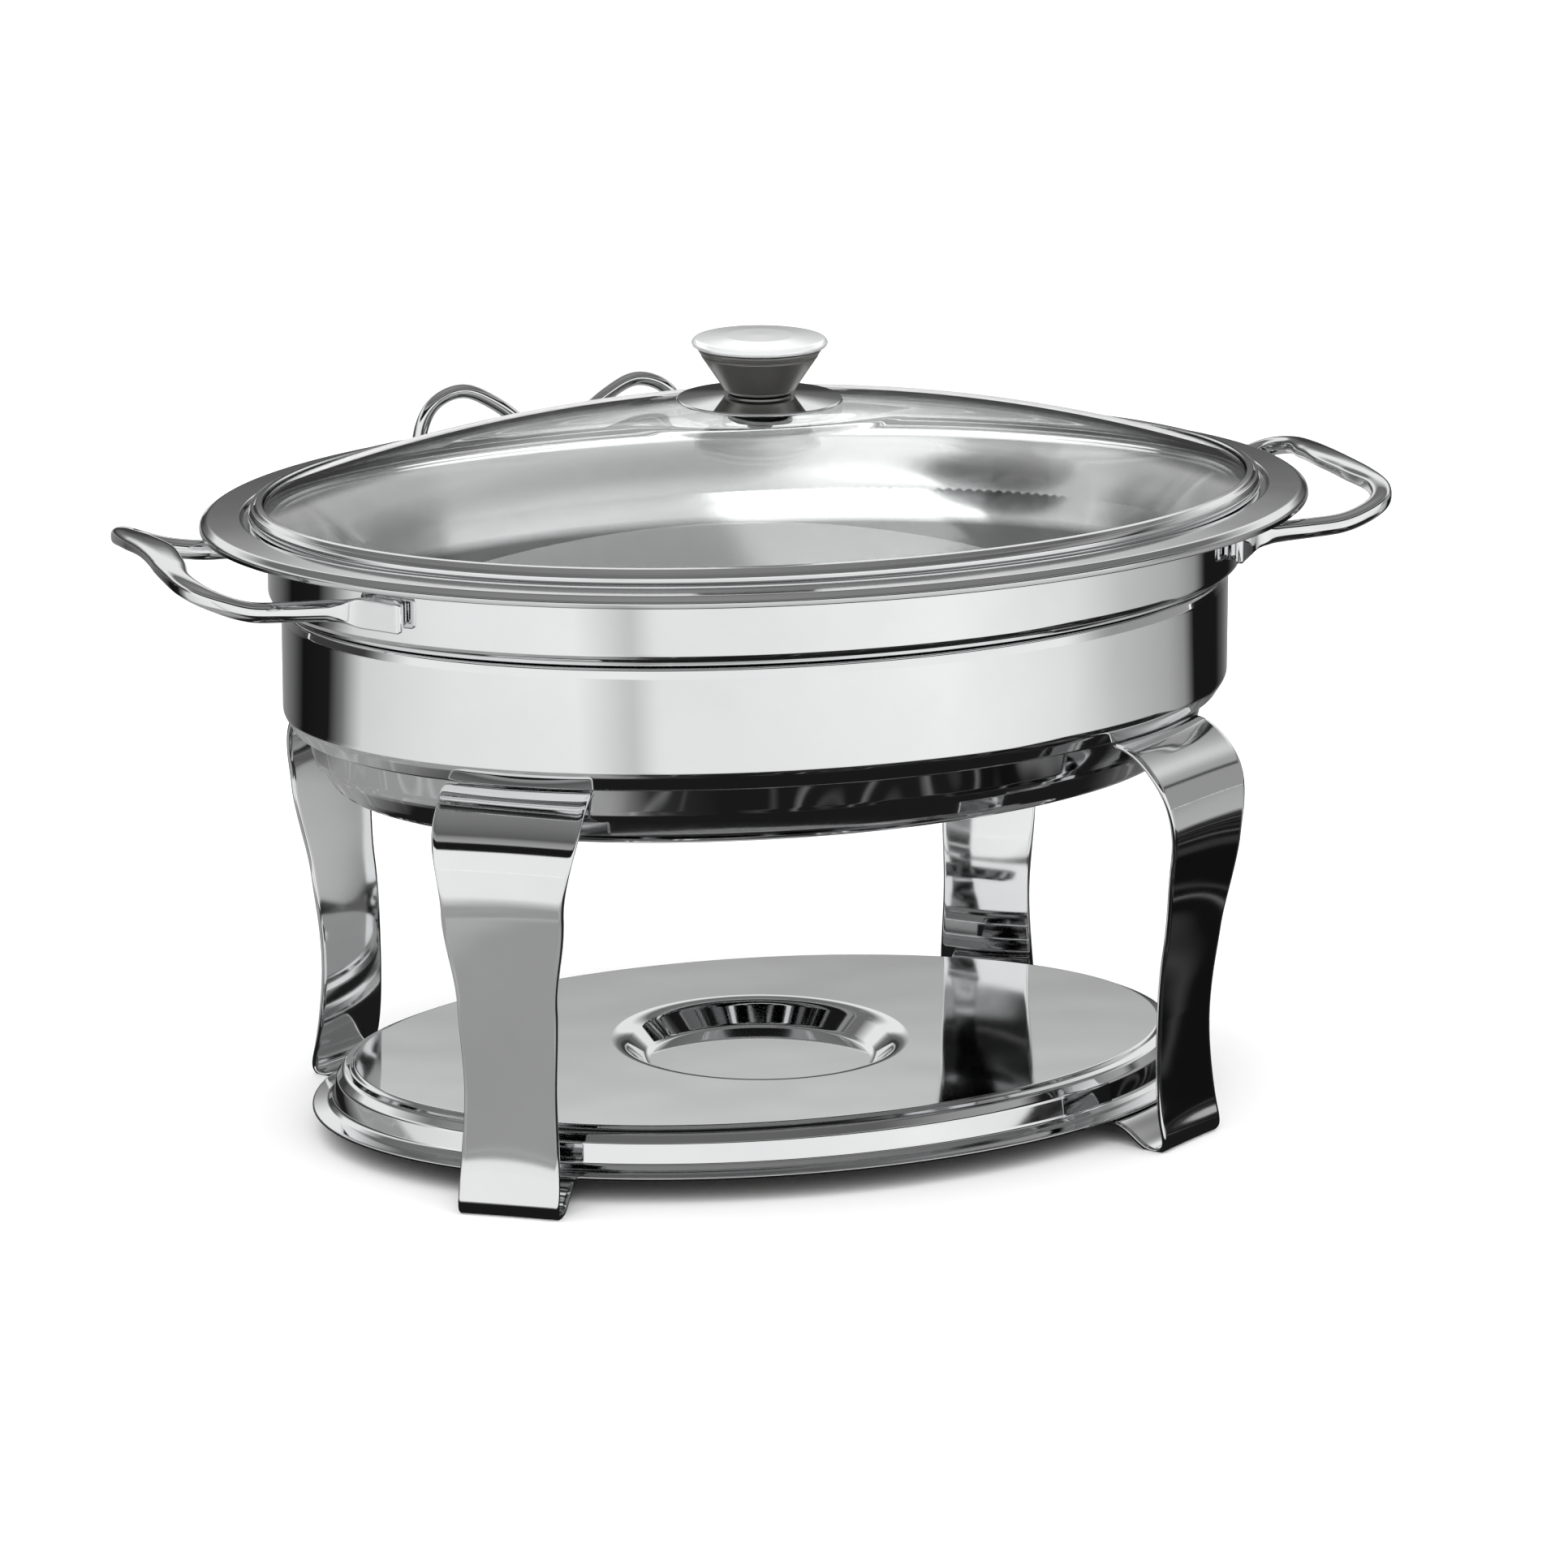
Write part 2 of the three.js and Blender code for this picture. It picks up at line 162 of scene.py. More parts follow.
def bumps(tree, layers):
    """A chain of bump nodes from (noise, distance in metres) layers; returns the last."""
    last = None
    for noise, distance in layers:
        bump = new_node(tree, "ShaderNodeBump", in_Strength=1.0, in_Distance=distance)
        tree.links.new(noise.outputs["Fac"], bump.inputs["Height"])
        if last is not None:
            tree.links.new(last.outputs["Normal"], bump.inputs["Normal"])
        last = bump
    return last


def new_material(name):
    material = bpy.data.materials.new(name)
    material.use_nodes = True
    tree = material.node_tree
    shader = tree.nodes["Principled BSDF"]
    return material, tree, shader


# ------------------------------------------------------------------ materials
def painted_shade_by_height(tree, shade, low, high, stops):
    """Painted shade and painted reflections: the shade times a ramp over the height from low to high, in
    metres.
    """
    place = new_node(tree, "ShaderNodeTexCoord")
    parts = new_node(tree, "ShaderNodeSeparateXYZ")
    tree.links.new(place.outputs["Object"], parts.inputs["Vector"])
    ramp = ramp_node(tree, stops, mapped(tree, parts, "Z", 0.0, 1.0, low, high))
    product = new_node(tree, "ShaderNodeVectorMath", operation="MULTIPLY")
    link_chain(tree, (shade, 2, product, 0), (ramp, "Color", product, 1))
    return product


SMUDGE_SCALE = 14                              # noise features per metre
POLISH_SCALE = 420
SHEET_SCALE = 16
SMUDGE_SHADE = 0.93                            # the tint's share left in the darkest smudge


def steel(name, tint, roughness, wave, brush_stretch=(1, 1, 12), brush_depth=0.0, metallic=1.0,
          heights=None):
    """Polished sheet: slow waves of the pressed sheet, polishing marks and faint smudges.

    roughness is (lowest, highest); wave and brush_depth are bump distances in metres. heights is
    (low, high, stops) for a sheet with painted shade and painted reflections that change with height.
    """
    material, tree, shader = new_material(name)
    shader.inputs["Metallic"].default_value = metallic
    smudge = object_noise(tree, SMUDGE_SCALE, detail=5.0, roughness=0.6)
    polish = object_noise(tree, POLISH_SCALE, stretch=brush_stretch, detail=4.0)
    sheet = object_noise(tree, SHEET_SCALE, detail=1.0)
    shade = new_node(tree, "ShaderNodeMix", data_type="RGBA")
    shade.inputs[6].default_value = (*[SMUDGE_SHADE * c for c in tint], 1)
    shade.inputs[7].default_value = (*tint, 1)
    spread = mapped(tree, smudge, "Fac", 0.0, 1.0)
    tree.links.new(spread.outputs["Result"], shade.inputs[0])
    if heights is None:
        tree.links.new(shade.outputs[2], shader.inputs["Base Color"])
    else:
        # The colour darkened and lightened by height: painted shade and painted reflections.
        painted_shade = painted_shade_by_height(tree, shade, *heights)
        tree.links.new(painted_shade.outputs["Vector"], shader.inputs["Base Color"])
    blotch = mapped(tree, smudge, "Fac", roughness[0], roughness[1])
    grain = mapped(tree, polish, "Fac", 0.0, 0.5 * (roughness[1] - roughness[0]))
    total = new_node(tree, "ShaderNodeMath", operation="ADD")
    link_chain(
        tree,
        (blotch, "Result", total, 0),
        (grain, "Result", total, 1),
        (total, "Value", shader, "Roughness"),
    )
    layers = [(sheet, wave)]
    if brush_depth:
        layers.append((polish, brush_depth))
    bump = bumps(tree, layers)
    tree.links.new(bump.outputs["Normal"], shader.inputs["Normal"])
    return material


def glass():
    """Clear tempered glass with a faint film that blurs it here and there."""
    material, tree, shader = new_material("clear_glass_looks")
    shader.inputs["Base Color"].default_value = (0.985, 0.995, 0.99, 1)
    shader.inputs["Transmission Weight"].default_value = 1.0
    shader.inputs["IOR"].default_value = 1.5
    film = object_noise(tree, 22, detail=4.0)
    blur = mapped(tree, film, "Fac", 0.0, 0.012)
    tree.links.new(blur.outputs["Result"], shader.inputs["Roughness"])
    ripple = object_noise(tree, 9, detail=0.0)
    bump = bumps(tree, [(ripple, 0.00012)])
    tree.links.new(bump.outputs["Normal"], shader.inputs["Normal"])
    return material


def silicone():
    """Matt black silicone with a fine moulded grain."""
    material, tree, shader = new_material("black_silicone_looks")
    grain = object_noise(tree, 1500, detail=3.0)
    dust = object_noise(tree, 90, detail=4.0)
    shade = new_node(tree, "ShaderNodeMix", data_type="RGBA")
    shade.inputs[6].default_value = (0.012, 0.012, 0.013, 1)
    shade.inputs[7].default_value = (0.03, 0.03, 0.031, 1)
    spread = mapped(tree, dust, "Fac", 0.0, 1.0)
    blur = mapped(tree, grain, "Fac", 0.5, 0.75)
    bump = bumps(tree, [(grain, 0.00003)])
    link_chain(
        tree,
        (spread, "Result", shade, 0),
        (shade, 2, shader, "Base Color"),
        (blur, "Result", shader, "Roughness"),
        (bump, "Normal", shader, "Normal"),
    )
    return material


STEEL_TINT = (0.86, 0.865, 0.87)
POLISHED = steel("polished_steel_looks", STEEL_TINT, (0.025, 0.05), 0.00012)
LEG_STEEL = steel("leg_steel_looks", STEEL_TINT, (0.03, 0.07), 0.00022, (1, 1, 8), 0.0000006)
# The food pan's painted shade and painted reflections by height, from its floor (0) to its flange
# (1): painted dark over the lower half, inside and outside alike, then bright, a painted darker band below
# the flange, and a painted bright flange.
PAN_PAINTED_SHADES = [(0, 0.22), (0.44, 0.2), (0.5, 1.0), (0.6, 0.95), (0.93, 0.5), (0.97, 1.0), (1, 1.0)]
# The food pan's steel, with painted shade and painted reflections by height.
PAN_PAINTED_SHADE_STEEL = steel("pan_steel_looks", STEEL_TINT, (0.05, 0.1), 0.0001, (8, 1, 1), 0.0000006,
                   heights=(PAN_LOW.z, PAN_HIGH.z, PAN_PAINTED_SHADES))
CAP_METALLIC = 0.45                            # the cap is partly diffuse, so it reads white
CAP_STEEL = steel("cap_steel_looks", STEEL_TINT, (0.06, 0.1), 0.00004, (1, 1, 8), 0.0000006, CAP_METALLIC)
SATIN = steel("satin_steel_looks", (0.33, 0.325, 0.315), (0.26, 0.36), 0.00002, (1, 1, 30), 0.000004)
SCREW = steel("screw_steel_looks", (0.6, 0.6, 0.59), (0.22, 0.34), 0.00002, (1, 1, 20), 0.000002)
GLASS = glass()
SILICONE = silicone()


# ------------------------------------------------------------------ curves and sections
def arc_corner(before, corner, after, radius):
    """Points of the arc that rounds a corner, at most as large as its two sides allow."""
    into, out = before - corner, after - corner
    half = into.angle(out) / 2
    if radius <= 0 or half > math.radians(88):
        return [corner]
    reach = min(radius / math.tan(half), 0.49 * into.length, 0.49 * out.length)
    arc_radius = reach * math.tan(half)
    middle = corner + (into.normalized() + out.normalized()).normalized() * arc_radius / math.sin(half)
    start = corner + into.normalized() * reach - middle
    end = corner + out.normalized() * reach - middle
    sweep = math.pi - 2 * half
    steps = max(3, math.ceil(math.degrees(sweep) / 9))
    points = []
    for k in range(steps + 1):
        t = k / steps
        a = math.sin((1 - t) * sweep) / math.sin(sweep)
        b = math.sin(t * sweep) / math.sin(sweep)
        points.append(middle + a * start + b * end)
    return points


def with_supports(points, closed):
    """Adds a point near each end of every long straight stretch, which keeps its shading flat."""
    inset = 0.3
    result = []
    count = len(points)
    for i, point in enumerate(points):
        result.append(point)
        if i == count - 1 and not closed:
            break
        following = points[(i + 1) % count]
        along = following - point
        if along.length > 5 * inset:
            step = along.normalized() * inset
            result.extend([point + step, following - step])
    return result


def rounded(corners, closed=True):
    """A section [(r, z, corner radius), ...] with its corners rounded."""
    flat = [Vector(c[:2]) for c in corners]
    points = []
    for i, (_, _, radius) in enumerate(corners):
        if not closed and i in (0, len(corners) - 1):
            points.append(flat[i])
            continue
        after = flat[(i + 1) % len(flat)]
        points.extend(arc_corner(flat[i - 1], flat[i], after, radius))
    return with_supports(points, closed)


def smoothstep(t):
    t = min(1.0, max(0.0, t))
    return t * t * (3 - 2 * t)


def blend_table(table, t):
    """Smooth value at t in a table [(t, value), ...]."""
    for (t0, v0), (t1, v1) in zip(table, table[1:]):
        if t <= t1:
            return v0 + (v1 - v0) * smoothstep((t - t0) / (t1 - t0))
    return table[-1][1]


def centripetal(points, per_span=24):
    """Dense points of the centripetal Catmull-Rom curve through the given ones."""
    ends = [2 * points[0] - points[1], *points, 2 * points[-1] - points[-2]]
    dense = []
    for p0, p1, p2, p3 in zip(ends, ends[1:], ends[2:], ends[3:]):
        d0, d1, d2 = [max(1e-4, (b - a).length) ** 0.5 for a, b in ((p0, p1), (p1, p2), (p2, p3))]
        m1 = ((p1 - p0) / d0 - (p2 - p0) / (d0 + d1) + (p2 - p1) / d1) * d1
        m2 = ((p2 - p1) / d1 - (p3 - p1) / (d1 + d2) + (p3 - p2) / d2) * d1
        for k in range(per_span):
            t = k / per_span
            dense.append(
                (2 * t**3 - 3 * t**2 + 1) * p1 + (t**3 - 2 * t**2 + t) * m1
                + (3 * t**2 - 2 * t**3) * p2 + (t**3 - t**2) * m2
            )
    return [*dense, points[-1]]


def even_path(points, count, passes=0):
    """The curve through points as count + 1 evenly spaced points, its bends eased by passes."""
    dense = centripetal([Vector(p) for p in points])
    lengths = [0.0]
    for a, b in zip(dense, dense[1:]):
        lengths.append(lengths[-1] + (b - a).length)
    even, j = [], 0
    for i in range(count + 1):
        target = lengths[-1] * i / count
        while j < len(dense) - 2 and lengths[j + 1] < target:
            j += 1
        share = (target - lengths[j]) / (lengths[j + 1] - lengths[j])
        even.append(dense[j].lerp(dense[j + 1], share))
    for _ in range(passes):
        inner = [(a + 2 * b + c) / 4 for a, b, c in zip(even, even[1:], even[2:])]
        even = [even[0], *inner, even[-1]]
    return even, lengths[-1]


def tangent(path, i):
    return (path[min(i + 1, len(path) - 1)] - path[max(i - 1, 0)]).normalized()


# ------------------------------------------------------------------ meshes
def faces_outward(vertices, faces):
    """The faces of a closed mesh, all turned so that they point out."""
    volume = 0.0
    for face in faces:
        first = Vector(vertices[face[0]])
        for second, third in zip(face[1:], face[2:]):
            volume += first.dot(Vector(vertices[second]).cross(Vector(vertices[third])))
    return faces if volume > 0 else [tuple(reversed(face)) for face in faces]


def make_piece(name, vertices, faces, material, body, nodes):
    """A smooth mesh piece, its vertices in millimetres about the ovals' centre."""
    faces = faces_outward(vertices, faces)
    mesh = bpy.data.meshes.new(name)
    mesh.from_pydata([(x * MM, y * MM + CENTRE_Y, z * MM) for x, y, z in vertices], [], faces)
    mesh.validate()
    mesh.polygons.foreach_set("use_smooth", [True] * len(mesh.polygons))
    mesh.update()
    piece = bpy.data.objects.new(name, mesh)
    bpy.context.scene.collection.objects.link(piece)
    mesh.materials.append(material)
    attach(piece, body)
    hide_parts(*nodes)
    return piece


def loops_to_faces(loop_count, size, closed_loops=True, join_ends=False):
    """Quads between neighbouring loops of equal size."""
    faces = []
    last = loop_count if join_ends else loop_count - 1
    for i in range(last):
        a, b = i * size, ((i + 1) % loop_count) * size
        for j in range(size if closed_loops else size - 1):
            k = (j + 1) % size
            faces.append((a + j, a + k, b + k, b + j))
    return faces


def turned(section, width, steps, closed):
    """Vertices and faces of a section carried round an oval; r = 0 is a single pole."""
    vertices, rows = [], []
    for r, z in section:
        if r < 1e-6:
            rows.append([len(vertices)] * steps)
            vertices.append((0.0, 0.0, z))
            continue
        rows.append(list(range(len(vertices), len(vertices) + steps)))
        for j in range(steps):
            angle = 2 * math.pi * j / steps
            vertices.append((r * math.cos(angle), width(r) * math.sin(angle), z))
    faces = []
    pairs = list(zip(rows, rows[1:])) + ([(rows[-1], rows[0])] if closed else [])
    for low, high in pairs:
        for j in range(steps):
            k = (j + 1) % steps
            corners = list(dict.fromkeys((low[j], low[k], high[k], high[j])))
            if len(corners) > 2:
                faces.append(tuple(corners))
    return vertices, faces


def round_width(r):
    return r


def pan_width(r):
    floor = 120.0
    return r - OVAL_DIFFERENCE if r >= floor else r * (1 - OVAL_DIFFERENCE / floor)


def tray_width(r):
    """Round as far as the burner seat, oval from the rim inward, with a smooth change between."""
    rim, seat = 150.0, 62.0
    if r >= rim:
        return r - OVAL_DIFFERENCE
    share = max(0.0, (r - seat) / (rim - seat))
    return r - OVAL_DIFFERENCE * share**1.5


def dome_width(r):
    return r * (1 - OVAL_DIFFERENCE / GLASS_A * smoothstep((r - 6) / 54))


def turned_piece(name, section, body, material, width=pan_width, steps=OVAL_STEPS, closed=True,
                 nodes=None):
    vertices, faces = turned(section, width, steps, closed)
    return make_piece(name, vertices, faces, material, body, nodes or [name.replace("_looks", "")])


def wall_frame(long_half_axis, parameter):
    """A point on an oval's wall, with its outward and sideways directions."""
    short_half_axis = long_half_axis - OVAL_DIFFERENCE
    point = Vector((long_half_axis * math.cos(parameter), short_half_axis * math.sin(parameter), 0))
    outward = Vector((math.cos(parameter) / long_half_axis, math.sin(parameter) / short_half_axis, 0))
    outward.normalize()
    return point, outward, Vector((-outward.y, outward.x, 0))


# ------------------------------------------------------------------ stand
def base_tray():
    edge_z, top_z, seat_z = 9.5, 26.5, 17.5
    section = rounded([
        (TRAY_A, edge_z, 0.5), (TRAY_A, edge_z + 1.5, 0.9), (172.6, 11.6, 1.4), (170.6, 13.6, 2.2),
        (169.3, 21.2, 2.2), (166.9, 24.6, 1.8), (163.6, 25.2, 0.9), (162.6, top_z, 1.2),
        (54.6, top_z, 9), (44.6, seat_z, 4), (0, seat_z, 0),
        (0, 16.3, 0), (45, 16.3, 4), (55.2, 25.3, 8), (161.6, 25.3, 1),
        (166.6, 23.2, 1.6), (168.2, 20.2, 1.8), (169.4, 13.2, 1.8), (171.6, 10.5, 1.2),
    ])
    turned_piece("base_tray_looks", section, "stand", POLISHED, tray_width)


def stand_ring():
    section = rounded([
        (183.6, 209.75, 0.3), (186.6, 208.9, 1.6), (RING_A, 205.2, 2.5), (RING_A, 168.2, 6),
        (183.4, 161.6, 4), (181.2, 161.6, 0.4), (181.2, 162.8, 0.4), (183, 162.8, 3), (186.3, 168.8, 5),
        (186.3, 205, 2), (185.5, 207.8, 1), (183.6, 208.8, 0.3),
    ])
    turned_piece("stand_ring_looks", section, "stand", POLISHED)


LEG_PATH = [
    (-3.4, 160.3), (0.4, 159.9), (6, 157.2), (13, 151.2), (18.4, 143.2), (20.8, 133), (20.6, 121),
    (18.3, 104), (15, 84), (12, 62), (11.1, 42), (12, 25), (13.7, 12.5), (15.4, 5.6),
    (15.9, 2.6), (14.6, 0.7), (7.4, 0.7), (3.6, 2.8), (-0.6, 5.8), (-5, 7.8), (-9, 8.2), (-13, 8.2),
]
LEG_HALF_WIDTHS = [
    (0, 28.7), (0.09, 28.4), (0.27, 23.6), (0.45, 19.4), (0.62, 18), (0.82, 19.6), (1, 19.6),
]
LEG_DISH = 1.2                                 # how far the strap's middle lies inside its edges
SPOT_WELD_RADIUS = 3.2
SPOT_WELDS = [(0.062, -0.68), (0.062, 0.68)]   # along the strap and across it, both as shares


def strap_section(half_width, half_thickness, across=44, corner_steps=6):
    """Points (across, through) of a strap with full round edges, starting at the back face."""
    straight = half_width - half_thickness
    points = []
    for side in (1, -1):
        for k in range(across + 1):
            points.append((side * straight * (2 * k / across - 1), -side * half_thickness))
        for k in range(1, corner_steps):
            turn = math.pi * k / corner_steps
            points.append((
                side * (straight + half_thickness * math.sin(turn)),
                -side * half_thickness * math.cos(turn),
            ))
    return points


def spot_weld(along, across):
    """Height of the shallow dimple and raised rim left by a spot weld, in millimetres."""
    distance = math.hypot(along, across) / SPOT_WELD_RADIUS
    if distance > 1.35:
        return 0.0
    return -0.22 * math.exp(-(distance * 1.6) ** 2) + 0.12 * math.exp(-((distance - 0.95) / 0.16) ** 2)


def leg(row_name, side_name, side_x, side_y):
    stations = 330
    path, length = even_path([(s, 0, z) for s, z in LEG_PATH], stations, passes=26)
    out_x, out_y = side_x * math.sin(LEG_ANGLE), side_y * math.cos(LEG_ANGLE)
    vertices = []
    size = 0
    for i, centre in enumerate(path):
        t = i / stations
        half_width = blend_table(LEG_HALF_WIDTHS, t)
        way = tangent(path, i)
        section = strap_section(half_width, LEG_THICKNESS / 2)
        size = len(section)
        hollow = LEG_DISH * t * min(1.0, (1 - t) / 0.4)
        for across, through in section:
            share = across / half_width
            lift = hollow * (share * share - 1)
            if through < 0:
                for weld_t, weld_share in SPOT_WELDS:
                    lift += spot_weld((t - weld_t) * length, (share - weld_share) * half_width)
            s = centre.x - way.z * through + lift
            z = max(0.0, centre.z + way.x * through)
            vertices.append((
                side_x * LEG_BASE[0] + out_x * s - out_y * across,
                side_y * LEG_BASE[1] + out_y * s + out_x * across,
                z,
            ))
    faces = loops_to_faces(stations + 1, size)
    faces.append(tuple(reversed(range(size))))
    faces.append(tuple(range(stations * size, (stations + 1) * size)))
    name = f"leg_{row_name}_{side_name}"
    make_piece(f"{name}_looks", vertices, faces, LEG_STEEL, "stand", [name])


# ------------------------------------------------------------------ water pan
def water_pan():
    section = rounded([
        (0, BASIN_Z, 0), (150, BASIN_Z, 60), (168, 138.4, 14), (176.2, 149.6, 12), (179.8, 166, 20),
        (182.3, 208.6, 1), (183.6, 210.1, 1), (187.6, 210.1, 3), (BAND_A, 213.6, 4),
        (BAND_A, 239.3, 0.5), (199.5, 239.3, 0.3), (199.5, 240.3, 0.3), (191.4, 240.3, 1),
        (191.4, 214.3, 3.2), (187.2, 211.1, 2.4), (181.4, 211.1, 0.8), (178.8, 166, 20),
        (175.2, 150.2, 12), (167.2, 139.4, 14), (150, 133.7, 60), (0, 133.7, 0),
    ], closed=False)
    turned_piece("water_pan_looks", section, "water_pan", POLISHED, closed=False)


def wall_plate(name, parameter, width, height, thickness):
    """A small rounded plate on the band's wall, its outer edge softened."""
    point, outward, sideways = wall_frame(BAND_A, parameter)
    corner, corner_steps, soft = 2.5, 6, 0.5
    outline = []
    for quarter, (sx, sy) in enumerate([(1, 1), (-1, 1), (-1, -1), (1, -1)]):
        for k in range(corner_steps + 1):
            angle = (quarter + k / corner_steps) * math.pi / 2
            outline.append((
                sx * (width / 2 - corner) + corner * math.cos(angle),
                sy * (height / 2 - corner) + corner * math.sin(angle),
            ))
    levels = [(0.0, 1.0)]
    for k in range(5):
        turn = math.pi / 2 * k / 4
        shrink = soft * (1 - math.cos(turn)) / (height / 2)
        levels.append((thickness - soft + soft * math.sin(turn), 1 - shrink))
    vertices = []
    for depth, scale in levels:
        for u, v in outline:
            place = point + sideways * (u * scale) + outward * (FIT_GAP + depth)
            vertices.append((place.x, place.y, HANDLE_Z + v * scale))
    size = len(outline)
    faces = loops_to_faces(len(levels), size)
    faces.append(tuple(reversed(range(size))))
    faces.append(tuple(range((len(levels) - 1) * size, len(levels) * size)))
    make_piece(f"{name}_looks", vertices, faces, POLISHED, "water_pan", [name])


HANDLE_ARM = [
    (190, 56, 225.6), (206, 54.6, 226), (221, 57.4, 228), (235, 55, 233.4), (241.1, 42.4, 236.8),
    (240.1, 20, 238.8), (238.8, 0, 239.6),
]
HANDLE_PAD_HALF_LENGTH = 12.0
HANDLE_PAD_LIFT = 1.0
HANDLE_PLATE_THICKNESS = 2.0
# Along half of the handle, by share of its length: half-thickness, half-height, and how square
# the section is (2 is an ellipse).
HANDLE_HALF_THICKNESS = [(0, 1.6), (0.15, 1.6), (0.22, 3.4), (0.5, 3.6), (0.7, 4.4), (0.86, 6.2), (1, 6.8)]
HANDLE_HALF_HEIGHT = [(0, 5.7), (0.13, 5.8), (0.2, 4.1), (0.32, 3.9), (0.6, 3.7), (0.8, 3.2), (1, 2.9)]
HANDLE_SQUARENESS = [(0, 7), (0.16, 6), (0.24, 2.2), (0.5, 2.2), (0.8, 3), (1, 3)]


def superellipse(angle, power):
    c, s = math.cos(angle), math.sin(angle)
    return math.copysign(abs(c) ** (2 / power), c), math.copysign(abs(s) ** (2 / power), s)


def handle(side_name, side_x):
    stations, sides = 260, 40
    point, outward, sideways = wall_frame(BAND_A, HANDLE_PARAMETER)
    stand_off = 3 * FIT_GAP + HANDLE_PLATE_THICKNESS + HANDLE_HALF_THICKNESS[0][1]
    pad = point + outward * stand_off + Vector((0, 0, HANDLE_Z))
    half = [
        pad + sideways * HANDLE_PAD_HALF_LENGTH,
        pad,
        pad - sideways * HANDLE_PAD_HALF_LENGTH + outward * HANDLE_PAD_LIFT,
        *[Vector(p) for p in HANDLE_ARM],
    ]
    other_half = [Vector((p.x, -p.y, p.z)) for p in reversed(half[:-1])]
    path, _ = even_path([*half, *other_half], stations, passes=14)
    vertices = []
    for i, centre in enumerate(path):
        from_end = 1 - abs(2 * i / stations - 1)
        way = tangent(path, i)
        across = Vector((-way.y, way.x, 0)).normalized()
        above = way.cross(across)
        end_ease = math.sqrt(1 - (1 - min(1.0, (from_end + 0.0005) / 0.012)) ** 2)
        thick = blend_table(HANDLE_HALF_THICKNESS, from_end) * (0.35 + 0.65 * end_ease)
        high = blend_table(HANDLE_HALF_HEIGHT, from_end) * (0.8 + 0.2 * end_ease)
        power = blend_table(HANDLE_SQUARENESS, from_end)
        for j in range(sides):
            c, s = superellipse(2 * math.pi * j / sides, power)
            place = centre + across * (c * thick) + above * (s * high)
            vertices.append((side_x * place.x, place.y, place.z))
    faces = loops_to_faces(stations + 1, sides)
    faces.append(tuple(reversed(range(sides))))
    faces.append(tuple(range(stations * sides, (stations + 1) * sides)))
    name = f"handle_{side_name}"
    make_piece(f"{name}_looks", vertices, faces, POLISHED, "water_pan", [name])


HOLDER_HALF_PATH = [
    (0, 256, 216), (10, 256.5, 219.8), (24, 256.8, 230.5), (38, 257.4, 236.8), (51, 256.8, 232),
    (57.5, 255.5, 219), (58.5, 251, 204), (58, 241, 195.6), (56, 222, 195), (52.5, 190, 205),
    (49.5, 163, 216), (HOLDER_X, 148, 221.5),
]
HOLDER_RADIUS = 3.0
HOLDER_PLATE_THICKNESS = 2.4


def lid_holder_wire():
    stations, sides = 420, 24
    point, _, _ = wall_frame(BAND_A, math.acos(HOLDER_X / BAND_A))
    wall_end = (HOLDER_X, point.y + HOLDER_PLATE_THICKNESS + HOLDER_RADIUS, 223.5)
    right = [*HOLDER_HALF_PATH, wall_end]
    left = [(-x, y, z) for x, y, z in reversed(right[1:])]
    path, _ = even_path([*left, *right], stations, passes=10)
    vertices = []
    side = Vector((1, 0, 0))
    for i, centre in enumerate(path):
        way = tangent(path, i)
        side = (side - way * side.dot(way)).normalized()
        above = way.cross(side)
        from_end = min(i, stations - i)
        ease = math.sqrt(1 - (1 - min(1.0, (from_end + 0.2) / 3)) ** 2)
        for j in range(sides):
            angle = 2 * math.pi * j / sides
            offset = side * math.cos(angle) + above * math.sin(angle)
            place = centre + offset * (HOLDER_RADIUS * ease)
            vertices.append(tuple(place))
    faces = loops_to_faces(stations + 1, sides)
    faces.append(tuple(reversed(range(sides))))
    faces.append(tuple(range(stations * sides, (stations + 1) * sides)))
    make_piece("lid_holder_wire_looks", vertices, faces, POLISHED, "water_pan",
               ["lid_holder_wire"])


# ------------------------------------------------------------------ food pan
def food_pan():
    section = rounded([
        (0, FOOD_FLOOR_Z, 0), (152, FOOD_FLOOR_Z, 40), (171, 181, 14), (187.4, 240.6, 2.4),
        (203, 240.6, 0.8), (203.4, 242.8, 0.6), (215.6, 241.9, 0.9), (216.9, 240.9, 0.6),
        (216.9, 238.8, 0.5), (FLANGE_A, 238.8, 0.5), (FLANGE_A, 241.2, 2.2), (215.2, 243.1, 2.6),
        (202.4, 243.7, 0.8), (201.7, 241.6, 0.8), (188.4, 241.6, 1.8), (170.2, 182, 13),
        (151.8, 175, 40), (0, 175, 0),
    ], closed=False)
    # The pan's steel carries painted shade and painted reflections by height.
    turned_piece("food_pan_looks", section, "food_pan", PAN_PAINTED_SHADE_STEEL, closed=False)


# ------------------------------------------------------------------ lid
def glass_top(r):
    return GLASS_EDGE_Z + GLASS_RISE * (1 - (r / GLASS_A) ** GLASS_POWER)


def lid_glass():
    hole_radius, rings = 4.2, 70
    radii = [hole_radius + (GLASS_A - hole_radius) * (k / rings) for k in range(rings + 1)]
    top = [(r, glass_top(r)) for r in radii]
    bottom = [(r, glass_top(r) - GLASS_THICKNESS) for r in reversed(radii)]
    turned_piece("lid_glass_looks", [*top, *bottom], "lid", GLASS, dome_width)


def lid_rim():
    section = rounded([
        (LID_A, 243.1, 0.9), (LID_A, 245.9, 1.5), (198.3, 247.6, 0.7), (197.4, 247.5, 0.5),
        (196.4, 248.6, 0.8), (194.2, 248.8, 0.4), (193.6, 248.1, 0.3), (196, 247.5, 0.5),
        (197.3, 246.4, 0.6), (197.3, 242.7, 0.3), (192.6, 242.6, 0.2), (192.6, 241.9, 0.2),
        (198.4, 241.9, 0.9),
    ])
    turned_piece("lid_rim_looks", section, "lid", POLISHED)


KNOB_AXIS_HOLE = 2.8


